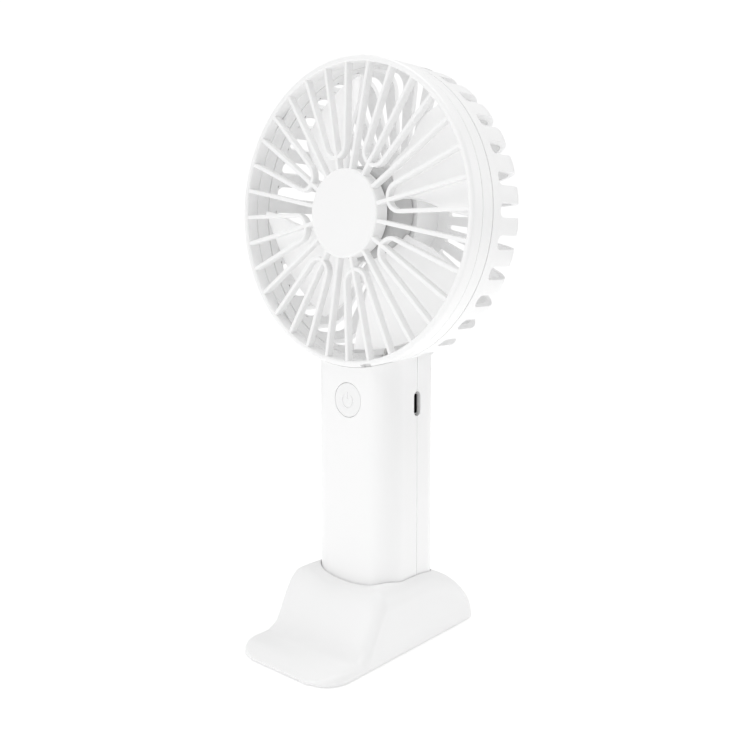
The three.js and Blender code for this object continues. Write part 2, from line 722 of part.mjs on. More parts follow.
function dockLoft(stations, inset) {
  const sections = stations.map((y) => dockSection(y, inset));
  const count = sections[0].length;
  const faces = [];
  for (let s = 0; s < sections.length - 1; s += 1) {
    for (let k = 0; k < count; k += 1) {
      const next = (k + 1) % count;
      const [a, b, c, d] = [s * count + k, s * count + next, (s + 1) * count + next, (s + 1) * count + k];
      faces.push(a, b, c, a, c, d);
    }
  }
  // Each end is closed by a strip between the section's left and right halves.
  const last = (sections.length - 1) * count;
  for (let k = 0; k < (count - 1) / 2; k += 1) {
    const [a, b, c, d] = [k, k + 1, count - 2 - k, count - 1 - k];
    faces.push(a, c, b, a, d, c, last + a, last + b, last + c, last + a, last + c, last + d);
  }
  const geometry = new THREE.BufferGeometry();
  geometry.setAttribute('position', new THREE.Float32BufferAttribute(sections.flat(2), 3));
  geometry.setIndex(faces);
  return solid(geometry);
}

// Stations close together where the outline or the ramp turns.
function dockStations(from, to) {
  const stations = [];
  const steps = Math.round((to - from) / 2.9);
  for (let i = 0; i <= steps; i += 1) {
    const t = i / steps;
    stations.push(from + (to - from) * (t + 0.06 * Math.sin(2 * Math.PI * t) * -1));
  }
  return stations;
}

const socketHalfX = handleWidth / 2 + socketClearance;
const socketHalfY = handleDepth / 2 + socketClearance;
const socketCorner = handleCorner + socketClearance;

const footPocket = ([x, y]) => rodZ(footRadius + gap, 0, footThickness + gap, x, y);

function dockShell() {
  const outside = dockLoft(dockStations(dockFront, dockBack), 0);
  const inside = dockLoft(dockStations(rampStart + 4, plateEnd - 1), 2).intersect(
    block([-plateHalfX + 0.6, -plateEnd + 1.5, plateTop], [plateHalfX - 0.6, plateEnd - 1.5, dockTop]),
  );
  const socketBlock = raised(
    roundedRectangle(socketHalfX + socketWall, socketHalfY + socketWall, socketCorner + socketWall),
    0, dockTop,
  );
  const posts = dockScrewPlaces.map(([x, y]) => rodZ(2.6, plateTop, dockTop, x, y));
  const hollow = cut(inside, socketBlock, ...posts);
  const plateRecess = raised(roundedRectangle(plateHalfX + gap, plateEnd + gap, 4 + gap), 0, plateTop + gap);
  const pocket = raised(roundedRectangle(socketHalfX, socketHalfY, socketCorner), socketFloor, dockTop + 5);
  const pilots = dockScrewPlaces.map(([x, y]) => (
    rodZ(screwShank + gap, plateTop, plateTop + dockScrewReach + 1, x, y, 10)
  ));
  const footPockets = footPlaces.slice(0, 2).map(footPocket);
  return cut(outside, hollow, plateRecess, pocket, ...pilots, ...footPockets);
}

function dockPlate() {
  const plate = raised(roundedRectangle(plateHalfX, plateEnd, 4), plateUnder, plateTop);
  const bores = dockScrewPlaces.flatMap(([x, y]) => [
    rodZ(screwShank + gap, 0, plateTop + 1, x, y, 10),
    rodZ(screwHead + gap, 0, plateUnder + 1.1, x, y, 14),
  ]);
  const footPockets = footPlaces.slice(2).map(footPocket);
  return cut(plate, ...bores, ...footPockets);
}

const dockScrew = ([x, y]) => join(
  rodZ(screwHead, plateUnder, plateUnder + 0.8, x, y, 14),
  rodZ(screwShank, plateUnder + 0.4, plateTop + dockScrewReach, x, y, 10),
);
const caseScrew = ([x, z]) => join(
  rodY(screwHead, caseHeadFloor + gap, caseHeadFloor + gap + screwHeadDepth, x, z, 14),
  rodY(screwShank, caseHeadFloor + gap - caseScrewReach, caseHeadFloor + gap + 0.5, x, z, 10),
);

// ---- assembly ----
const fan = new THREE.Group();
const head = new THREE.Group();
const handleGroup = new THREE.Group();
const dock = new THREE.Group();
head.position.z = headHeight;

const handle = hollowHandle();
handleGroup.add(
  piece('front_shell', frontShell(handle), whitePlastic),
  piece('rear_shell', rearShell(handle), whitePlastic),
  piece('power_button', powerButton(), whitePlastic),
  piece('switch_plunger', switchPlunger(), blackPlastic),
  piece('switch_body', switchBody(), blackPlastic),
  piece('circuit_board', circuitBoard(), boardGreen),
  piece('usb_port_shell', portShell(), steel),
  piece('usb_port_tongue', portTongue(), blackPlastic),
  piece('charger_chip', chargerChip(), blackPlastic),
  piece('board_inductor', boardInductor(), ferrite),
  piece('battery_cell', batteryCell(), sleeveBlue),
  piece('battery_pad_front', batteryPad(-1), foam),
  piece('battery_pad_rear', batteryPad(1), foam),
  piece('battery_tab_top', topTab(), steel),
  piece('battery_tab_bottom', bottomTab(), steel),
);
screwPlaces.forEach((place, i) => handleGroup.add(piece(`case_screw_${i + 1}`, caseScrew(place), steel)));

head.add(
  piece('front_grille', frontGrille(), whitePlastic),
  piece('impeller', impeller(), whitePlastic),
  piece('motor_can', motorCan(), steel),
  piece('motor_magnet_left', motorMagnet(-1), ferrite),
  piece('motor_magnet_right', motorMagnet(1), ferrite),
  piece('motor_endcap', motorEndcap(), whitePlastic),
  piece('motor_rotor', motorRotor(), copper),
  piece('motor_commutator', motorCommutator(), copper),
  piece('motor_shaft', motorShaft(), steel),
  piece('motor_bush', motorBush(), brass),
  piece('motor_sleeve', motorSleeve(), greyPlastic),
  piece('motor_terminal_left', motorTerminal(-1), brass),
  piece('motor_terminal_right', motorTerminal(1), brass),
);

// Leads, each from its terminal to the board's edge.
const leadY = motorBack + 2 * gap + leadRadius;
const doorY = (leadDoor.low + leadDoor.high) / 2;
const neckZ = headHeight - rimRadius;
const motorLead = (sign) => lead([
  [sign * terminalX, leadY, headHeight - 0.8 - gap],
  [sign * 4.2, leadY, headHeight - 7],
  [sign * 1.3, leadY, headHeight - bossRadius + 1],
  [sign * 1.3, leadY, neckZ + 18],
  [sign * 1.3, leadY - 1.4, neckZ + 8],
  [sign * 1.3, doorY, neckZ + 1],
  [sign * 1.3, doorY - 0.5, neckZ - 4],
  [sign * 2.6, leadOnBoard + 1, boardHigh - 1.4],
  [sign * 2.8, leadOnBoard, boardHigh - 2.6],
]);
const leadOnBoard = boardBack + gap + leadRadius;
const positiveLead = lead([
  [1, 5.2, cellTop + 1.1 + 2 * gap],
  [1.6, 5, cellTop + 3.4],
  [4.5, 3, cellTop + 5.2],
  [6, leadOnBoard, boardLow + 2.2],
  [6, leadOnBoard, boardLow + 4.4],
]);
const sideX = -7.6;
const sideY = 9.3;
const negativeLead = lead([
  [sideX, sideY - 0.1, cellBottom - 0.6],
  [sideX, sideY, cellBottom + 6],
  [sideX, sideY, cellTop - 8],
  [sideX, sideY - 1, cellTop],
  [sideX, 3.6, cellTop + 4.6],
  [sideX, leadOnBoard, boardLow + 2],
  [sideX, leadOnBoard, boardLow + 3.4],
]);
handleGroup.add(
  piece('motor_lead_left', motorLead(-1), whiteWire),
  piece('motor_lead_right', motorLead(1), whiteWire),
  piece('battery_lead_positive', positiveLead, redWire),
  piece('battery_lead_negative', negativeLead, blackWire),
);

dock.add(
  piece('dock_shell', dockShell(), whitePlastic),
  piece('dock_plate', dockPlate(), whitePlastic),
);
dockScrewPlaces.forEach((place, i) => dock.add(piece(`dock_screw_${i + 1}`, dockScrew(place), steel)));
footPlaces.forEach(([x, y], i) => {
  dock.add(piece(`dock_foot_${i + 1}`, rodZ(footRadius, 0, footThickness, x, y), rubber));
});

fan.add(dock, handleGroup, head);
fan.position.y = -(dockFront + dockBack) / 2;

export default fan;
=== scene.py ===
import math
import bpy
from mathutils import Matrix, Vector


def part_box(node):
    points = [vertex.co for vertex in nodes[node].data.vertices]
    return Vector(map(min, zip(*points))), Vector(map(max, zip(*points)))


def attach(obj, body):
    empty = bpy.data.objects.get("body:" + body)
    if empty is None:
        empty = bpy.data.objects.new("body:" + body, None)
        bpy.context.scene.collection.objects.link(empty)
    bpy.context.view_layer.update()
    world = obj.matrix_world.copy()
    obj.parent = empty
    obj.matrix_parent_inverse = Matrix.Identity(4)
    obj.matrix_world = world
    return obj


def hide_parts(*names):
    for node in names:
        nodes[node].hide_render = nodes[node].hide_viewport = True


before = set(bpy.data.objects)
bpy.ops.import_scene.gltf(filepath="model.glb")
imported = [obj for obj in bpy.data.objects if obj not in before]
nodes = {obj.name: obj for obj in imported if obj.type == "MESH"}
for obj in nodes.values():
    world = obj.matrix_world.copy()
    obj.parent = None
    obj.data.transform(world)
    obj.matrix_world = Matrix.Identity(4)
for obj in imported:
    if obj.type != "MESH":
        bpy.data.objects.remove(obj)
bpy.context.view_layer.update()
mm = 0.001

# ---- where things are, from the frame ----
grilleLow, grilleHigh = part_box("front_grille")
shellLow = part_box("front_shell")[0]
dockLow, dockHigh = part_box("dock_shell")
buttonLow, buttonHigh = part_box("power_button")
portLow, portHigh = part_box("usb_port_shell")

handleSize = {"width": 32.8, "depth": 27.0, "corner": 8.0, "wall": 1.8, "seam": 1.1, "gap": 0.3}
fanY = shellLow.y + handleSize["depth"] / 2 * mm  # the handle's axis
head = Vector(((grilleLow.x + grilleHigh.x) / 2, fanY, (grilleLow.z + grilleHigh.z) / 2))
handleFoot = shellLow.z
rim = (grilleHigh.x - grilleLow.x) / 2 / mm


# ---- modelling by hand ----
def nothingSelected():
    if bpy.context.object and bpy.context.object.mode != "OBJECT":
        bpy.ops.object.mode_set(mode="OBJECT")
    bpy.ops.object.select_all(action="DESELECT")


def pick(*pieces):
    nothingSelected()
    for piece in pieces:
        piece.select_set(True)
    bpy.context.view_layer.objects.active = pieces[0]
    return pieces[0]


def drawLine(name, points, filled=False, closed=False):
    # a row of points joined by edges, left in edit mode
    nothingSelected()
    bpy.ops.mesh.primitive_plane_add(size=mm, location=(0, 0, 0))
    piece = bpy.context.object
    piece.name = piece.data.name = name
    bpy.ops.object.mode_set(mode="EDIT")
    bpy.ops.mesh.select_all(action="SELECT")
    bpy.ops.mesh.merge(type="CENTER")
    bpy.ops.transform.translate(value=points[0])
    for a, b in zip(points, points[1:]):
        bpy.ops.mesh.extrude_vertices_move(TRANSFORM_OT_translate={"value": b - a})
    if filled or closed:
        bpy.ops.mesh.select_all(action="SELECT")
        bpy.ops.mesh.edge_face_add()
    if closed:
        bpy.ops.mesh.delete(type="ONLY_FACE")
    return piece


def chooseVertices(piece, wanted):
    # selects, in edit mode, the vertices whose place about the head, in millimetres, is wanted
    pick(piece)
    bpy.ops.object.mode_set(mode="EDIT")
    bpy.ops.mesh.select_mode(type="VERT")
    bpy.ops.mesh.select_all(action="DESELECT")
    bpy.ops.object.mode_set(mode="OBJECT")
    for v in piece.data.vertices:
        v.select = wanted((v.co - head) / mm)
    bpy.ops.object.mode_set(mode="EDIT")


def tidyMesh(piece, join=1e-6):
    pick(piece)
    bpy.ops.object.mode_set(mode="EDIT")
    bpy.ops.mesh.select_all(action="SELECT")
    bpy.ops.mesh.remove_doubles(threshold=join)
    bpy.ops.mesh.normals_make_consistent(inside=False)
    bpy.ops.object.mode_set(mode="OBJECT")
    return piece


def turned(name, outline, steps=144):
    # outline: (radius, y) in millimetres about the head's axis
    points = [head + Vector((0, y, r)) * mm for r, y in outline + outline[:1]]
    piece = drawLine(name, points)
    bpy.ops.mesh.select_all(action="SELECT")
    bpy.ops.mesh.spin(steps=steps, angle=2 * math.pi, center=head, axis=(0, 1, 0))
    return tidyMesh(piece)


def pushed(name, points, direction):
    # a flat outline given depth
    piece = drawLine(name, points, filled=True)
    bpy.ops.mesh.select_all(action="SELECT")
    bpy.ops.mesh.extrude_region_move(TRANSFORM_OT_translate={"value": direction})
    return tidyMesh(piece)


def roundedOutline(halfA, halfB, corner, steps=8):
    points = []
    for quarter, (sa, sb) in enumerate([(1, 1), (-1, 1), (-1, -1), (1, -1)]):
        for i in range(steps + 1):
            angle = math.radians(90 * quarter + 90 * i / steps)
            points.append((sa * (halfA - corner) + corner * math.cos(angle),
                           sb * (halfB - corner) + corner * math.sin(angle)))
    return points


def column(name, halfX, halfY, corner, low, high, steps=8):
    # an upright rounded bar, low and high in metres
    points = [Vector((a * mm, fanY + b * mm, low))
              for a, b in roundedOutline(halfX, halfY, corner, steps)]
    return pushed(name, points, Vector((0, 0, high - low)))


def boxPiece(name, low, high):
    nothingSelected()
    low, high = Vector(low), Vector(high)
    bpy.ops.mesh.primitive_cube_add(size=1, location=(low + high) / 2, scale=high - low)
    bpy.ops.object.transform_apply(location=True, rotation=True, scale=True)
    piece = bpy.context.object
    piece.name = piece.data.name = name
    return piece


def rodPiece(name, radius, y0, y1, x, z, sides=48):
    nothingSelected()
    bpy.ops.mesh.primitive_cylinder_add(vertices=sides, radius=radius, depth=y1 - y0,
                                        location=(x, (y0 + y1) / 2, z), rotation=(math.pi / 2, 0, 0))
    bpy.ops.object.transform_apply(location=True, rotation=True, scale=True)
    piece = bpy.context.object
    piece.name = piece.data.name = name
    return piece


def shaped(piece, kind, **settings):
    pick(piece)
    modifier = piece.modifiers.new("shape", kind)
    for key, value in settings.items():
        setattr(modifier, key, value)
    bpy.ops.object.modifier_apply(modifier=modifier.name)
    return piece


def combined(piece, tool, operation="DIFFERENCE"):
    shaped(piece, "BOOLEAN", operation=operation, object=tool, solver="EXACT")
    bpy.data.objects.remove(tool)
    return piece


def copied(piece):
    pick(piece)
    bpy.ops.object.duplicate(linked=False)
    return bpy.context.object


def around(piece, degrees):
    # turned about the head's axis, anticlockwise seen from the front
    pick(piece)
    bpy.ops.object.mode_set(mode="EDIT")
    bpy.ops.mesh.select_all(action="SELECT")
    bpy.ops.transform.rotate(value=math.radians(degrees), orient_axis="Y", center_override=head)
    bpy.ops.object.mode_set(mode="OBJECT")
    return piece


def ringOf(piece, count, first=0):
    copies = [around(copied(piece), first + 360 / count * i) for i in range(count)]
    bpy.data.objects.remove(piece)
    return copies


def joined(name, *pieces):
    pick(*pieces)
    bpy.ops.object.join()
    piece = bpy.context.object
    piece.name = piece.data.name = name
    return piece


def eased(piece, width, segments=3, angle=35):
    pick(piece)
    bpy.ops.object.shade_smooth_by_angle(angle=math.radians(angle))
    shaped(piece, "BEVEL", width=width * mm, segments=segments, limit_method="ANGLE",
           angle_limit=math.radians(angle), use_clamp_overlap=True, harden_normals=True)
    return piece


def smoothed(piece):
    pick(piece)
    bpy.ops.object.shade_smooth_by_angle(angle=math.radians(35))
    return piece


# ---- finishes ----
class Wire:
    # one output of a material, with arithmetic
    def __init__(self, finish, socket):
        self.finish, self.socket = finish, socket

    def _maths(self, operation, a, b):
        return self.finish.add("ShaderNodeMath", {"operation": operation}, {0: a, 1: b})

    def __add__(self, other):
        return self._maths("ADD", self, other)

    def __radd__(self, other):
        return self._maths("ADD", other, self)

    def __sub__(self, other):
        return self._maths("SUBTRACT", self, other)

    def __rsub__(self, other):
        return self._maths("SUBTRACT", other, self)

    def __mul__(self, other):
        return self._maths("MULTIPLY", self, other)

    def __rmul__(self, other):
        return self._maths("MULTIPLY", other, self)


class Finish:
    def __init__(self, name, **fixed):
        self.material = bpy.data.materials.new(name)
        self.material.use_nodes = True
        self.tree = self.material.node_tree
        self.shader = self.tree.nodes["Principled BSDF"]
        for key, value in fixed.items():
            self.shader.inputs[key.replace("_", " ")].default_value = value
        self.place = self.add("ShaderNodeTexCoord", out="Object")

    def add(self, kind, settings=None, sockets=None, out=0):
        node = self.tree.nodes.new(kind)
        for key, value in (settings or {}).items():
            if key == "stops":
                ramp = node.color_ramp
                while len(ramp.elements) < len(value):
                    ramp.elements.new(0.5)
                for element, (at, colour) in zip(ramp.elements, value):
                    element.position, element.color = at, colour
            else:
                setattr(node, key, value)
        for key, value in (sockets or {}).items():
            if isinstance(value, Wire):
                self.tree.links.new(value.socket, node.inputs[key])
            else:
                node.inputs[key].default_value = value
        return Wire(self, node.outputs[out])

    def feed(self, **inputs):
        for key, wire in inputs.items():
            self.tree.links.new(wire.socket, self.shader.inputs[key.replace("_", " ")])
        return self.material

    def noise(self, size, detail=2.0, roughness=0.5):
        # size: millimetres across one feature
        return self.add("ShaderNodeTexNoise", None, {"Vector": self.place, "Scale": 1000 / size,
                                                     "Detail": detail, "Roughness": roughness}, "Fac")

    def between(self, factor, a, b):
        ramp = {"stops": [(0.0, (*a, 1)), (1.0, (*b, 1))]}
        return self.add("ShaderNodeValToRGB", ramp, {0: factor}, "Color")

    def bump(self, height, distance, strength=1.0):
        return self.add("ShaderNodeBump", None, {"Height": height, "Distance": distance * mm,
                                                 "Strength": strength}, "Normal")


def moulded(name, pale, shade, rough=0.36, grain=0.012, **fixed):
    # satin moulded plastic: faint mottling, fine spark-eroded grain and slow waviness
    finish = Finish(name, IOR=1.46, **fixed)
    cloud = finish.noise(14.0, 3.0)
    fine = finish.noise(0.35, 2.0)
    wave = finish.noise(9.0, 1.0)
    return finish.feed(
        Base_Color=finish.between(cloud, shade, pale),
        Roughness=fine * 0.10 + (cloud * 0.06 + (rough - 0.08)),
        Normal=finish.bump(fine * grain + wave * 0.05, 1.0, 0.35),
    )


def metal(name, pale, shade, rough=0.28, brushed=0.4):
    finish = Finish(name, Metallic=1.0)
    streak = finish.noise(brushed, 3.0, 0.6)
    return finish.feed(
        Base_Color=finish.between(streak, shade, pale),
        Roughness=streak * 0.18 + (rough - 0.09),
        Normal=finish.bump(streak * 0.01, 1.0, 0.3),
    )


def rubbery(name, pale, shade, rough=0.8, pore=0.5):
    finish = Finish(name, IOR=1.5)
    pores = finish.noise(pore, 4.0, 0.65)
    return finish.feed(
        Base_Color=finish.between(pores, shade, pale),
        Roughness=pores * 0.15 + (rough - 0.08),
        Normal=finish.bump(pores * 0.05, 1.0, 0.5),
    )


def circuitGreen():
    # solder mask with copper tracks showing through
    finish = Finish("circuitGreen", IOR=1.5)
    tracks = finish.add("ShaderNodeTexBrick", None, {
        "Vector": finish.place, "Color1": (0.01, 0.10, 0.04, 1), "Color2": (0.012, 0.13, 0.05, 1),
        "Mortar": (0.05, 0.22, 0.09, 1), "Scale": 220.0, "Mortar Size": 0.03}, "Color")
    speck = finish.noise(0.6, 3.0)
    return finish.feed(Base_Color=tracks, Roughness=speck * 0.2 + 0.25,
                       Normal=finish.bump(speck * 0.01, 1.0, 0.3))


def windings():
    finish = Finish("copperWindings", Metallic=1.0)
    turns = finish.add("ShaderNodeTexWave", {"wave_type": "BANDS", "bands_direction": "Y"},
                       {"Vector": finish.place, "Scale": 900.0, "Distortion": 0.6}, "Fac")
    return finish.feed(Base_Color=finish.between(turns, (0.45, 0.16, 0.07), (0.85, 0.38, 0.18)),
                       Roughness=turns * 0.2 + 0.3, Normal=finish.bump(turns * 0.06, 1.0, 0.6))


def portMetalPaintedShade():
    # painted shade: the metal is bright at the mouth and painted dark further in, where the inside of the
    # port falls into shade
    finish = Finish("portMetalPaintedShade", Metallic=0.6)
    across = finish.add("ShaderNodeSeparateXYZ", None, {"Vector": finish.place}, "X")
    # painted shade: the base colour darkens with depth into the port
    depth = finish.add("ShaderNodeMapRange", None, {
        "Value": across, "From Min": portHigh.x - 0.5 * mm, "From Max": portHigh.x - 0.05 * mm}, "Result")
    scratch = finish.noise(0.3, 3.0)
    return finish.feed(Base_Color=finish.between(depth, (0.012, 0.012, 0.013), (0.5, 0.5, 0.5)),
                       Roughness=scratch * 0.2 + 0.3)


bellEdge = {"grey": 15.15, "white": 15.6}  # radii in millimetres between which the grey turns white


def wheelFinish():
    # white blades moulded round the grey side of the motor bell; the white part carries a painted glow, so
    # the blades behind the spokes read as brightly lit
    # painted light: emission 0.14 makes the white blades glow, the grey bell does not
    finish = Finish("wheelWhitePaintedGlow", IOR=1.46, Emission_Strength=0.14)
    flat = finish.add("ShaderNodeVectorMath", {"operation": "MULTIPLY"}, {0: finish.place, 1: (1, 0, 1)})
    arm = finish.add("ShaderNodeVectorMath", {"operation": "SUBTRACT"}, {0: flat, 1: (head.x, 0, head.z)})
    radius = finish.add("ShaderNodeVectorMath", {"operation": "LENGTH"}, {0: arm}, "Value")
    white = finish.add("ShaderNodeMapRange", None, {
        "Value": radius, "From Min": bellEdge["grey"] * mm, "From Max": bellEdge["white"] * mm}, "Result")
    cloud, fine = finish.noise(14.0, 3.0), finish.noise(0.35, 2.0)
    pale = finish.between(cloud, (0.925, 0.925, 0.925), (0.94, 0.94, 0.94))
    bell = finish.between(cloud, (0.6, 0.6, 0.6), (0.66, 0.66, 0.66))
    colour = finish.add("ShaderNodeMix", {"data_type": "RGBA"}, {0: white, 6: bell, 7: pale}, 2)
    return finish.feed(Base_Color=colour, Roughness=fine * 0.1 + 0.36,
                       Emission_Color=finish.between(white, (0, 0, 0), (1, 1, 1)),
                       Normal=finish.bump(fine * 0.012, 1.0, 0.35))


print("finishes")
# painted light: a faint white glow on the shell and grille plastic, so they read brighter than the lamps
# alone light them
paintedGlow = {"Emission_Color": (1, 1, 1, 1), "Emission_Strength": 0.04}
shellWhite = moulded("shellWhite", (0.93, 0.93, 0.93), (0.915, 0.915, 0.915), **paintedGlow)
grilleWhite = moulded("grilleWhite", (0.93, 0.93, 0.93), (0.915, 0.915, 0.915), rough=0.34, **paintedGlow)
wheelWhitePaintedGlow = wheelFinish()
buttonWhite = moulded("buttonWhite", (0.93, 0.93, 0.93), (0.915, 0.915, 0.915), rough=0.32, grain=0.006)
dockWhite = moulded("dockWhite", (0.93, 0.93, 0.93), (0.915, 0.915, 0.915), rough=0.4, grain=0.016)
blackPlastic = moulded("blackPlastic", (0.022, 0.022, 0.024), (0.012, 0.012, 0.013), rough=0.45)
chipBlack = moulded("chipBlack", (0.03, 0.03, 0.032), (0.015, 0.015, 0.016), rough=0.5, grain=0.02)
steel = metal("steel", (0.62, 0.63, 0.65), (0.5, 0.51, 0.53))
brass = metal("brass", (0.78, 0.56, 0.25), (0.6, 0.42, 0.18))
ferrite = rubbery("ferrite", (0.06, 0.06, 0.065), (0.035, 0.035, 0.04), 0.6, 0.3)
cellSleeve = moulded("cellSleeve", (0.07, 0.2, 0.46), (0.05, 0.15, 0.38), rough=0.3)
foam = rubbery("foam", (0.03, 0.03, 0.03), (0.012, 0.012, 0.012), 0.95, 0.8)
sleeveRubber = rubbery("sleeveRubber", (0.08, 0.08, 0.08), (0.05, 0.05, 0.05))
footRubber = rubbery("footRubber", (0.68, 0.68, 0.66), (0.6, 0.6, 0.58))
wireWhite = moulded("wireWhite", (0.72, 0.72, 0.7), (0.66, 0.66, 0.64), rough=0.5)
wireRed = moulded("wireRed", (0.55, 0.03, 0.03), (0.42, 0.02, 0.02), rough=0.45)
wireBlack = moulded("wireBlack", (0.02, 0.02, 0.02), (0.012, 0.012, 0.012), rough=0.45)
copperWound = windings()
boardGreen = circuitGreen()
portSteelPaintedShade = portMetalPaintedShade()


def wear(name, finish):
    # a carried-over node takes a finish
    piece = nodes[name]
    piece.data.materials.clear()
    piece.data.materials.append(finish)


for nodeName in nodes:
    if nodeName.startswith(("dock_screw", "case_screw", "motor_can", "motor_shaft", "battery_tab")):
        wear(nodeName, steel)
    elif nodeName.startswith("dock_foot"):
        wear(nodeName, footRubber)
    elif nodeName.startswith("battery_pad"):
        wear(nodeName, foam)
    elif nodeName.startswith(("motor_bush", "motor_terminal", "motor_commutator")):
        wear(nodeName, brass)
    elif nodeName.startswith(("motor_magnet", "board_inductor")):
        wear(nodeName, ferrite)
    else:
        wear(nodeName, shellWhite)
for nodeName, finish in {
    "dock_plate": dockWhite, "switch_plunger": blackPlastic, "switch_body": blackPlastic,
    "circuit_board": boardGreen, "usb_port_shell": portSteelPaintedShade, "usb_port_tongue": blackPlastic,
    "charger_chip": chipBlack, "battery_cell": cellSleeve, "motor_lead_left": wireWhite,
    "motor_lead_right": wireWhite, "battery_lead_positive": wireRed, "battery_lead_negative": wireBlack,
    "motor_endcap": blackPlastic, "motor_rotor": copperWound, "motor_sleeve": sleeveRubber,
}.items():
    wear(nodeName, finish)


def finished(piece, finish, body, slot, *stands):
    piece.data.materials.clear()
    piece.data.materials.append(finish)
    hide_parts(*stands)
    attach(piece, body)
    return piece


# ---- front grille ----
grille = {
    "opening": 46.1, "front": -14.4, "back": -9.9, "hub": 13.9, "hubFront": -15.6, "hubBack": -10.2,
    "hubWall": 1.5, "spokes": 32, "width": 1.3, "depth": 2.8, "bend": 22.0, "rimInset": 0.35,
    "easing": 0.42, "notchAngle": -80, "notchWidth": 4.2, "notchDepth": 0.9, "hookBack": -7.6,
}


def spokeFront(radius):
    # the spokes' front faces slope up from the rim to the hub
    share = (grille["opening"] - radius) / (grille["opening"] - grille["hub"])
    return grille["front"] + 0.3 - 1.2 * max(0.0, min(1.0, share))


def longSpoke():
    outer, inner = grille["opening"] + 0.6, grille["hub"] - 0.8
    half = grille["width"] / 2
    front = spokeFront(outer)
    behind = front + grille["depth"]
    points = [head + Vector((outer, y, z)) * mm for y, z in
              [(front, -half), (front, half), (behind, half), (behind, -half)]]
    drop = spokeFront(inner) - front
    spoke = pushed("spoke", points, Vector((inner - outer, drop, 0)) * mm)
    return eased(spoke, grille["easing"], 3)


def loopedPair():
    # two spokes joined by a bend round the loop's centre, drawn either side of +X
    pitch = math.radians(360 / grille["spokes"])
    reach = grille["bend"] * math.cos(pitch)
    half = grille["width"] / 2
    outer = grille["opening"] + 0.6
    front = spokeFront(outer)
    behind = front + grille["depth"]

    def along(radius, side, y, z):
        # z across a spoke that leaves the centre at the pitch angle
        angle = side * pitch
        return head + Vector((radius * math.cos(angle) - z * math.sin(angle), y,
                              radius * math.sin(angle) + z * math.cos(angle))) * mm

    points = [along(outer, 1, y, z) for y, z in
              [(front, -half), (front, half), (behind, half), (behind, -half)]]
    pair = drawLine("loopedSpokes", points, filled=True)
    bpy.ops.mesh.select_all(action="SELECT")
    drop = spokeFront(reach) - front
    inward = along(reach, 1, drop, 0) - along(outer, 1, 0, 0)
    bpy.ops.mesh.extrude_region_move(TRANSFORM_OT_translate={"value": inward})
    centre = head + Vector((grille["bend"], 0, 0)) * mm
    bpy.ops.mesh.spin(steps=16, angle=math.pi - 2 * pitch, center=centre, axis=(0, 1, 0))
    outward = along(outer, -1, -drop, 0) - along(reach, -1, 0, 0)
    bpy.ops.mesh.extrude_region_move(TRANSFORM_OT_translate={"value": outward})
    tidyMesh(pair)
    return eased(pair, grille["easing"], 3, angle=45)


def makeGrille():
    opening, front, back, inset = grille["opening"], grille["front"], grille["back"], grille["rimInset"]
    ring = turned("grilleRim", [(opening, front + inset), (opening + inset, front), (rim - 0.9, front),
                                (rim - 0.4, front + 0.14), (rim - 0.12, front + 0.45), (rim, front + 0.95),
                                (rim, back), (opening, back)])
    half = grille["notchWidth"] / 2
    notch = boxPiece("notch", head + Vector((rim - grille["notchDepth"], front - 1, -half)) * mm,
                     head + Vector((rim + 1, front + 2, half)) * mm)
    combined(ring, around(notch, grille["notchAngle"]))
    eased(ring, 0.22, 2)
    hubRadius, hubFront, wall = grille["hub"], grille["hubFront"], grille["hubWall"]
    hub = turned("grilleHub", [(0, hubFront), (hubRadius - 4, hubFront), (hubRadius, hubFront),
                               (hubRadius, grille["hubBack"]), (hubRadius - wall, grille["hubBack"]),
                               (hubRadius - wall, hubFront + wall), (0, hubFront + wall)])
    eased(hub, 0.9, 5)
    pitch = 360 / grille["spokes"]
    spokes = ringOf(longSpoke(), grille["spokes"] // 2, first=pitch)
    pairs = ringOf(loopedPair(), grille["spokes"] // 4, first=pitch)
    hook = boxPiece("hook", head + Vector((opening - 1.2, back - 0.4, -5.6)) * mm,
                    head + Vector((opening - 0.3, grille["hookBack"], 5.6)) * mm)
    hooks = ringOf(eased(hook, 0.3, 2), 4, first=45)
    return joined("grille", ring, hub, *spokes, *pairs, *hooks)


print("front grille")
finished(makeGrille(), grilleWhite, "grille", "white_grille", "front_grille")

# ---- handle and the two shells ----
shell = {
    "bandFront": -9.6, "bandBack": -4.6, "opening": 46.1, "seamEase": 0.2, "lipInset": 0.28,
    "button": 5.56, "portLength": 7.9, "portWidth": 3.2, "screwX": 12.4, "screwLows": [14.0, 60.5],
    "counterbore": 2.2, "counterFloor": 8.2, "post": 3.2, "postFront": 6.4, "postBack": 12.5, "postTrim": 0.3,
}


def portTool():
    middle = Vector((handleSize["width"] / 2 * mm - 4 * mm, fanY + handleSize["seam"] * mm,
                     (portLow.z + portHigh.z) / 2))
    halfWidth = shell["portWidth"] / 2
    outline = roundedOutline(halfWidth, shell["portLength"] / 2, halfWidth - 0.01, 10)
    return pushed("portCut", [middle + Vector((0, a, b)) * mm for a, b in outline], Vector((8, 0, 0)) * mm)


def hollowHandle():
    wide, deep = handleSize["width"] / 2, handleSize["depth"] / 2
    wall = handleSize["wall"]
    crown = head.z - (rim - 5.5) * mm
    tube = column("handle", wide, deep, handleSize["corner"], handleFoot, crown, steps=12)
    cavity = column("cavity", wide - wall, deep - wall, handleSize["corner"] - wall,
                    handleFoot + wall * mm, head.z - (rim + 2.1) * mm - 1.2 * mm, steps=12)
    combined(tube, cavity)
    # the drum's underside, stepped where the grille's rim stands in front of the shell
    scoop = turned("drumCut", [(0, -20), (rim + 0.1, -20), (rim + 0.1, shell["bandFront"]),
                               (shell["opening"] + 0.9, shell["bandFront"]), (shell["opening"] + 0.9, 7.0),
                               (shell["opening"] - 1.2, 11.0), (shell["opening"] - 5.5, 12.6),
                               (0, 12.6)], 180)
    combined(tube, scoop)
    return combined(tube, portTool())


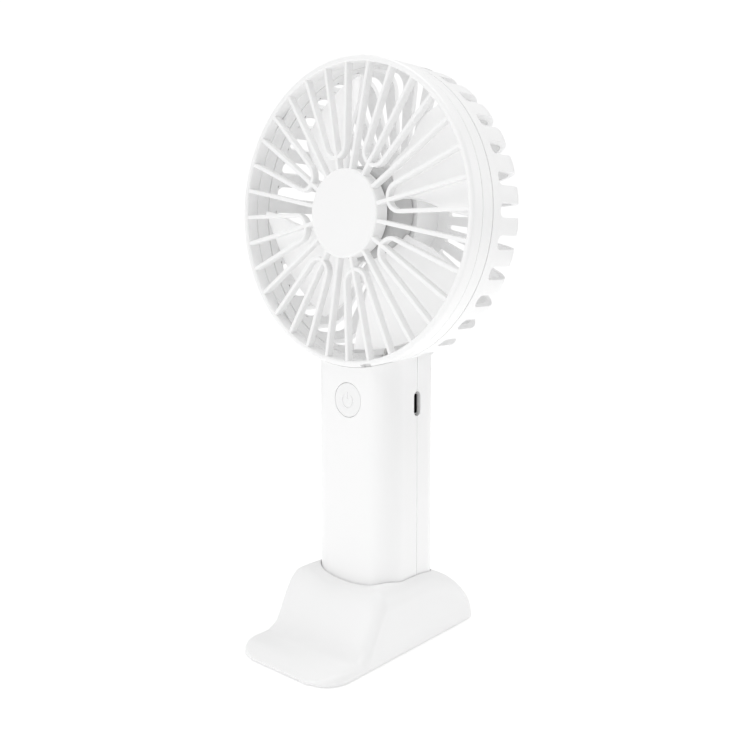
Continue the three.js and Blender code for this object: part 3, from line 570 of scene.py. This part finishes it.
def makeFrontShell(tube):
    half = copied(tube)
    wide, deep = handleSize["width"] / 2, handleSize["depth"] / 2
    seam = fanY + (handleSize["seam"] - handleSize["gap"] / 2) * mm
    combined(half, boxPiece("behind", (-0.1, seam, -0.1), (0.1, seam + 0.2, 0.3)))
    combined(half, rodPiece("buttonHole", shell["button"] * mm, fanY - 20 * mm, fanY - 8 * mm, 0,
                            (buttonLow.z + buttonHigh.z) / 2, 64))
    eased(half, shell["seamEase"], 3)
    inset = shell["lipInset"]
    lip = column("lip", wide - inset, deep - inset, handleSize["corner"] - inset, handleFoot + 0.5 * mm,
                 head.z - (rim + 1.2) * mm, steps=12)
    combined(lip, column("lipBore", wide - 1.5, deep - 1.5, handleSize["corner"] - 1.5, handleFoot + 1.5 * mm,
                         head.z - (rim + 2.2) * mm, steps=12))
    lipBand = boxPiece("lipBand", (-0.1, seam - 0.8 * mm, -0.1), (0.1, seam + 0.9 * mm, 0.3))
    combined(lip, lipBand, "INTERSECT")
    combined(lip, portTool())
    smoothed(lip)
    half = joined("frontHalf", half, lip)
    band = turned("band", [(shell["opening"], shell["bandFront"]), (rim, shell["bandFront"]),
                           (rim, shell["bandBack"]), (shell["opening"], shell["bandBack"])], 180)
    eased(band, 0.3, 3)
    return joined("frontShell", half, band)


def makeRearHandle(tube):
    seam = fanY + (handleSize["seam"] + handleSize["gap"] / 2) * mm
    combined(tube, boxPiece("before", (-0.1, seam - 0.2, -0.1), (0.1, seam, 0.3)))
    trim = shell["postTrim"]
    wide, deep = handleSize["width"] / 2 - trim, handleSize["depth"] / 2 - trim
    for x in (-shell["screwX"], shell["screwX"]):
        for z in shell["screwLows"]:
            post = rodPiece("post", shell["post"] * mm, fanY + shell["postFront"] * mm,
                            fanY + shell["postBack"] * mm, x * mm, z * mm, 40)
            combined(post, column("postTrim", wide, deep, handleSize["corner"] - trim,
                                  (z - 6) * mm, (z + 6) * mm, steps=12), "INTERSECT")
            combined(tube, post, "UNION")
            combined(tube, rodPiece("bore", shell["counterbore"] * mm, fanY + shell["counterFloor"] * mm,
                                    fanY + 20 * mm, x * mm, z * mm, 40))
    return eased(tube, shell["seamEase"], 3)


# ---- rear cage ----
cage = {
    "front": -4.3, "back": 13.6, "corner": 6.5, "wall": 1.9, "slotStart": -0.7, "slotOuter": 4.2,
    "slotInner": 1.5, "slotInnerRadius": 20.5, "count": 32, "centre": 5.0, "boss": 16.5, "bossWall": 2.2,
    "bossFront": 1.0, "easing": 0.5,
}


def cageRows():
    # (radius, y, half the slot's width) from the drum's front edge round to the middle of its back
    def slotHalf(radius):
        share = (radius - cage["slotInnerRadius"]) / (rim - cage["slotInnerRadius"])
        return (cage["slotInner"] + (cage["slotOuter"] - cage["slotInner"]) * share) / 2

    rows = [(rim, cage["front"], 0), (rim, cage["front"] + 1.2, 0), (rim, cage["slotStart"] - 1.0, 0)]
    end = slotHalf(rim)
    for degrees in (0, 15, 30, 45, 60, 75, 90):
        angle = math.radians(degrees)
        rows.append((rim, cage["slotStart"] + end * (1 - math.cos(angle)), end * math.sin(angle)))
    turnStart = cage["back"] - cage["corner"]
    for y in (3.2, 5.2):
        rows.append((rim, y, end))
    for i in range(9):
        angle = math.radians(90 * i / 8)
        radius = rim - cage["corner"] + cage["corner"] * math.cos(angle)
        rows.append((radius, turnStart + cage["corner"] * math.sin(angle), slotHalf(radius)))
    for radius in (38, 34, 30, 26, 23.5):
        rows.append((radius, cage["back"], slotHalf(radius)))
    end = slotHalf(cage["slotInnerRadius"] + cage["slotInner"] / 2)
    for degrees in (90, 70, 50, 30, 15, 0):
        angle = math.radians(degrees)
        radius = cage["slotInnerRadius"] + end * (1 - math.cos(angle))
        rows.append((radius, cage["back"], end * math.sin(angle)))
    rows += [(radius, cage["back"], 0) for radius in (19, 14, 9, cage["centre"])]
    return rows


def makeCage():
    half = math.radians(180 / cage["count"])
    rows = cageRows()
    points = [head + Vector((r * math.sin(half), y, r * math.cos(half))) * mm for r, y, _ in rows]
    rib = drawLine("rib", points)
    bpy.ops.mesh.select_all(action="SELECT")
    bpy.ops.mesh.spin(steps=4, angle=2 * half, center=head, axis=(0, 1, 0))
    bpy.ops.mesh.select_mode(type="VERT")
    bpy.ops.object.mode_set(mode="OBJECT")
    for radius, y, slot in rows:
        if slot <= 0:
            continue
        chooseVertices(rib, lambda place: abs(math.hypot(place.x, place.z) - radius) < 0.02
                       and abs(place.y - y) < 0.02)
        full = radius * math.sin(half)
        bpy.ops.transform.resize(value=((full - slot) / full, 1, 1), center_override=head)
        bpy.ops.object.mode_set(mode="OBJECT")
    ribs = ringOf(rib, cage["count"], first=180 / cage["count"])
    whole = joined("cage", *ribs)
    pick(whole)
    bpy.ops.object.mode_set(mode="EDIT")
    bpy.ops.mesh.select_all(action="SELECT")
    bpy.ops.mesh.remove_doubles(threshold=0.01 * mm)
    chooseVertices(whole, lambda place: math.hypot(place.x, place.z) < cage["centre"] + 0.1)
    bpy.ops.mesh.edge_face_add()
    bpy.ops.mesh.select_all(action="SELECT")
    bpy.ops.mesh.normals_make_consistent(inside=False)
    bpy.ops.object.mode_set(mode="OBJECT")
    backFace = max(whole.data.polygons, key=lambda face: face.center.y)
    if backFace.normal.y < 0:
        bpy.ops.object.mode_set(mode="EDIT")
        bpy.ops.mesh.select_all(action="SELECT")
        bpy.ops.mesh.flip_normals()
        bpy.ops.object.mode_set(mode="OBJECT")
    shaped(whole, "SOLIDIFY", thickness=cage["wall"] * mm, offset=-1)
    eased(whole, cage["easing"], 3, angle=50)
    return whole


def makeRearShell(tube):
    outer, inner = cage["boss"], cage["boss"] - cage["bossWall"]
    front, back = cage["bossFront"], cage["back"] - 1
    boss = turned("boss", [(inner, front), (outer, front), (outer, back), (inner, back)], 96)
    eased(boss, 0.35, 3)
    return joined("rearShell", makeCage(), boss, makeRearHandle(tube))


print("handle")
handleTube = hollowHandle()
finished(makeFrontShell(handleTube), shellWhite, "fan_body", "white_shell", "front_shell")
print("rear cage")
finished(makeRearShell(handleTube), shellWhite, "fan_body", "white_shell", "rear_shell")

# ---- power button ----
button = {"radius": 5.42, "flange": 6.4, "relief": 0.25, "ringOuter": 2.35, "ringInner": 1.95, "gapAngle": 70}


def makeButton():
    middle = Vector((0, fanY, (buttonLow.z + buttonHigh.z) / 2))
    face = (buttonLow.y - fanY) / mm
    cap = rodPiece("cap", button["radius"] * mm, buttonLow.y, buttonLow.y + 2.5 * mm, 0, middle.z, 72)
    flange = rodPiece("flange", button["flange"] * mm, buttonLow.y + 2.1 * mm,
                      buttonLow.y + 3.1 * mm, 0, middle.z, 72)
    combined(cap, flange, "UNION")
    outer, inner = button["ringOuter"], button["ringInner"]
    start = math.radians(90 + button["gapAngle"] / 2)
    centre = middle + Vector((0, 0, -0.2)) * mm
    ring = []
    for radius, order in ((outer, 1), (inner, -1)):
        sweep = math.radians(360 - button["gapAngle"])
        steps = [start + sweep * i / 28 for i in range(29)][::order]
        ring += [centre + Vector((radius * math.cos(a), face - 1, radius * math.sin(a))) * mm for a in steps]
    combined(cap, pushed("powerRing", ring, Vector((0, 1 + button["relief"], 0)) * mm))
    bar = boxPiece("powerBar", middle + Vector((-0.2, face - 1, 0.4)) * mm,
                   middle + Vector((0.2, face + button["relief"], 2.5)) * mm)
    combined(cap, bar)
    eased(cap, 0.12, 2, angle=40)
    cap.name = cap.data.name = "button"
    return cap


print("button")
finished(makeButton(), buttonWhite, "button", "white_button", "power_button")

# ---- fan wheel ----
wheel = {
    "cup": 15.0, "cupFront": -9.0, "cupBack": 0.6, "wall": 1.8, "tip": 43.0, "thick": 1.3, "span": 66.0,
    "sweep": 16.0, "phase": 41.0, "lead": -8.3, "trail": 3.2, "blades": 4, "rows": 9, "columns": 12,
}


def bladePoint(out, along):
    root = wheel["cup"] - wheel["wall"] / 2
    radius = root + (wheel["tip"] - root) * out
    rounding = 1 - 0.16 * max(0, out - 0.7) / 0.3 * (2 * along - 1) ** 2
    spread = (along - 0.5) * wheel["span"] * (0.72 + 0.28 * out) * rounding
    angle = math.radians(spread - wheel["sweep"] * out)
    past = max(0, min(1, out * 5 - 0.6))
    trail = (wheel["cupBack"] - wheel["thick"]) * (1 - past) + wheel["trail"] * past
    y = wheel["lead"] + (trail - wheel["lead"]) * along + 1.6 * math.sin(math.pi * along) * out
    return head + Vector((radius * math.cos(angle), y, radius * math.sin(angle))) * mm


def makeBlade():
    rows = []
    for i in range(wheel["rows"] + 1):
        out = i / wheel["rows"]
        points = [bladePoint(out, j / wheel["columns"]) for j in range(wheel["columns"] + 1)]
        rows.append(drawLine("row", points))
    blade = joined("blade", *rows)
    bpy.ops.object.mode_set(mode="EDIT")
    bpy.ops.mesh.select_all(action="SELECT")
    bpy.ops.mesh.bridge_edge_loops(type="SINGLE")
    bpy.ops.mesh.select_all(action="SELECT")
    bpy.ops.mesh.normals_make_consistent(inside=False)
    bpy.ops.object.mode_set(mode="OBJECT")
    shaped(blade, "SOLIDIFY", thickness=wheel["thick"] * mm, offset=0)
    return eased(blade, 0.4, 3, angle=50)


def makeWheel():
    cup, front, back, wall = wheel["cup"], wheel["cupFront"], wheel["cupBack"], wheel["wall"]
    bowl = turned("cup", [(1.3, front), (cup - 1.5, front), (cup - 0.45, front + 0.45), (cup, front + 1.5),
                          (cup, back), (cup - wall, back), (cup - wall, front + wall),
                          (1.3, front + wall)], 96)
    eased(bowl, 0.3, 3, angle=25)
    blades = ringOf(makeBlade(), wheel["blades"], first=wheel["phase"])
    return joined("fanWheel", bowl, *blades)


print("fan wheel")
finished(makeWheel(), wheelWhitePaintedGlow, "spinner", "white_impeller", "impeller")

# ---- dock ----
dock = {
    "frontCorner": 9.0, "rearCorner": 6.0, "tongue": 3.4, "rampStart": -30.5, "rampEnd": -17.5,
    "backStart": 2.0, "backBlend": 1.7, "shoulder": 6.0, "scoop": 2.6, "scoopAt": -15.0, "scoopWidth": 6.5,
    "socket": 0.35, "socketFloor": 5.1, "plateX": 17.6, "plateY": 24.0, "plateTop": 3.1, "easing": 0.45,
    "stations": 46,
}
dockFront, dockBack = (dockLow.y - fanY) / mm, (dockHigh.y - fanY) / mm
dockHalf, dockTop, dockUnder = (dockHigh.x - dockLow.x) / 2 / mm, dockHigh.z / mm, dockLow.z / mm


def dockHeight(y):
    nose = dock["tongue"] * min(1, math.sqrt(max(0.12, (y - dockFront) / 5)))
    t = max(0, min(1, (y - dock["rampStart"]) / (dock["rampEnd"] - dock["rampStart"])))
    ramp = nose + (dockTop - nose) * t * t * (3 - 2 * t)
    if y <= dock["backStart"]:
        return ramp
    fall = min(1, (y - dock["backStart"]) / (dockBack - dock["backStart"]))
    return max(2.2, dockTop * (1 - fall ** dock["backBlend"]) ** (1 / dock["backBlend"]))


def dockHalfWidth(y):
    for reach, corner in ((y - dockFront, dock["frontCorner"]), (dockBack - y, dock["rearCorner"])):
        if reach < corner:
            return dockHalf - corner + math.sqrt(max(0, corner ** 2 - (corner - reach) ** 2))
    return dockHalf


def dockSection(y):
    half, top = dockHalfWidth(y), dockHeight(y)
    corner = min(dock["shoulder"], (top - dockUnder) * 0.8, half * 0.9)
    flat = half - corner
    dip = dock["scoop"] * math.exp(-(((y - dock["scoopAt"]) / dock["scoopWidth"]) ** 2))
    section = [(-half, dockUnder)]
    for i in range(9):
        angle = math.radians(180 - 90 * i / 8)
        section.append((-flat + corner * math.cos(angle), top - corner + corner * math.sin(angle)))
    for i in range(1, 10):
        x = flat * (i / 5 - 1)
        section.append((x, top - dip * (1 - (x / flat) ** 2)))
    for i in range(9):
        angle = math.radians(90 - 90 * i / 8)
        section.append((flat + corner * math.cos(angle), top - corner + corner * math.sin(angle)))
    section.append((half, dockUnder))
    return [Vector((x * mm, fanY + y * mm, z * mm)) for x, z in section]


def makeDock():
    rows = []
    for i in range(dock["stations"] + 1):
        t = i / dock["stations"]
        y = dockFront + (dockBack - dockFront) * t
        rows.append(drawLine("station", dockSection(y), closed=True))
    body = joined("dock", *rows)
    bpy.ops.object.mode_set(mode="EDIT")
    bpy.ops.mesh.select_all(action="SELECT")
    bpy.ops.mesh.bridge_edge_loops(type="SINGLE")
    bpy.ops.mesh.select_all(action="SELECT")
    bpy.ops.mesh.fill_holes(sides=0)
    tidyMesh(body)
    wide, deep = handleSize["width"] / 2 + dock["socket"], handleSize["depth"] / 2 + dock["socket"]
    combined(body, column("socket", wide, deep, handleSize["corner"] + dock["socket"],
                          dock["socketFloor"] * mm, (dockTop + 5) * mm, steps=12))
    combined(body, column("plateRecess", dock["plateX"] + 0.3, dock["plateY"] + 0.3, 4.3, -0.001,
                          (dock["plateTop"] + 0.3) * mm))
    return eased(body, dock["easing"], 3, angle=40)


print("dock")
finished(makeDock(), dockWhite, "dock", "white_dock", "dock_shell")

# ---- floor, light and camera ----
nothingSelected()
bpy.ops.mesh.primitive_plane_add(size=1.1, location=(0, 0, 0))
floor = bpy.context.object
floor.name = "floor"
floorFinish = Finish("floorWhite", Roughness=0.9, Emission_Color=(1, 1, 1, 1), Emission_Strength=0.2)
speckle = floorFinish.noise(40.0, 2.0)
floor.data.materials.append(floorFinish.feed(
    Base_Color=floorFinish.between(speckle, (0.95, 0.95, 0.95), (0.96, 0.96, 0.96))))

room = bpy.data.worlds.new("room")
bpy.context.scene.world = room
room.use_nodes = True
roomLight = {"lighting": 0.54, "backdrop": 1.05}  # the light it gives, and how bright it looks itself
backdrop = room.node_tree.nodes["Background"]
backdrop.inputs["Color"].default_value = (1, 1, 1, 1)
ray = room.node_tree.nodes.new("ShaderNodeLightPath")
level = room.node_tree.nodes.new("ShaderNodeMapRange")
level.inputs["To Min"].default_value = roomLight["lighting"]
level.inputs["To Max"].default_value = roomLight["backdrop"]
room.node_tree.links.new(ray.outputs["Is Camera Ray"], level.inputs["Value"])
room.node_tree.links.new(level.outputs["Result"], backdrop.inputs["Strength"])


def softbox(name, place, size, power):
    bpy.ops.object.light_add(type="AREA", location=place)
    light = bpy.context.object
    light.name = name
    light.data.shape = "RECTANGLE"
    light.data.size, light.data.size_y = size
    light.data.energy = power
    light.rotation_euler = (Vector((0, 0, 0.09)) - Vector(place)).to_track_quat("-Z", "Y").to_euler()
    return light


lights = {
    "frontSoft": ((-0.65, -1.45, 0.55), (1.0, 1.0), 4.9),
    "rightSoft": ((1.15, 1.15, 0.7), (0.9, 0.9), 3.3),
    "topSoft": ((0.1, 0.0, 1.5), (1.3, 1.3), 11.0),
}
for lightName, (place, size, power) in lights.items():
    softbox(lightName, place, size, power)

view = {
    "place": (0.18715, -0.20848, 0.12352), "azimuth": 41.022, "pitch": 3.983,
    "focal": 881.0, "frame": 750, "sensor": 36, "shift": -0.08,
}
cameraData = bpy.data.cameras.new("camera")
camera = bpy.data.objects.new("camera", cameraData)
bpy.context.scene.collection.objects.link(camera)
camera.location = view["place"]
azimuth, pitch = math.radians(view["azimuth"]), math.radians(view["pitch"])
back = Vector((math.sin(azimuth) * math.cos(pitch), -math.cos(azimuth) * math.cos(pitch), math.sin(pitch)))
camera.rotation_mode = "QUATERNION"
camera.rotation_quaternion = (-back).to_track_quat("-Z", "Y")
cameraData.sensor_width = view["sensor"]
cameraData.lens = view["focal"] * view["sensor"] / view["frame"]
cameraData.shift_y = view["shift"]
cameraData.clip_start, cameraData.clip_end = 0.01, 20
bpy.context.scene.camera = camera
bpy.context.scene.view_settings.view_transform = "Standard"
